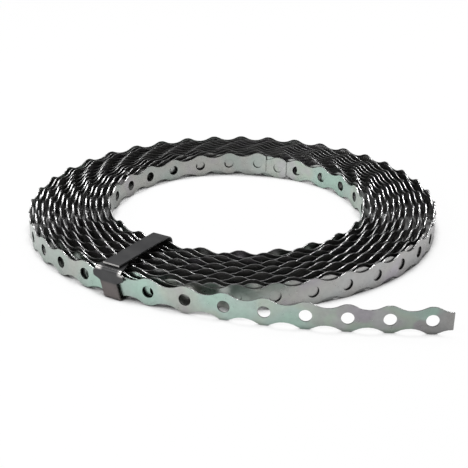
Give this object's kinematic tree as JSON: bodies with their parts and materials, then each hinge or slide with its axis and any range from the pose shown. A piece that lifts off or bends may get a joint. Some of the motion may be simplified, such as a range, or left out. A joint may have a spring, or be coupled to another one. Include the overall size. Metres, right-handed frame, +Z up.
{
  "type": "roll of perforated metal strap",
  "caption": "Roll of wavy galvanised perforated fixing strap, lying flat with its free end run out, held together by one bent sheet clip",
  "frame": {"origin": "on the coil's axis, at the level of the floor that the coil lies on", "axes": "+Z up along the coil's axis; +X along the straight free end, towards its cut; the free end's outer face looks along -Y"},
  "size_m": [0.2902, 0.3061, 0.0213],
  "materials": {
    "zinc": "galvanised, with faint passivation tints and dull cut edges",
    "dark_steel": "black lacquered steel strip with bare bright bends"
  },
  "bodies": {
    "root": {"strap": "zinc", "clip": "dark_steel"}
  },
  "joints": []
}
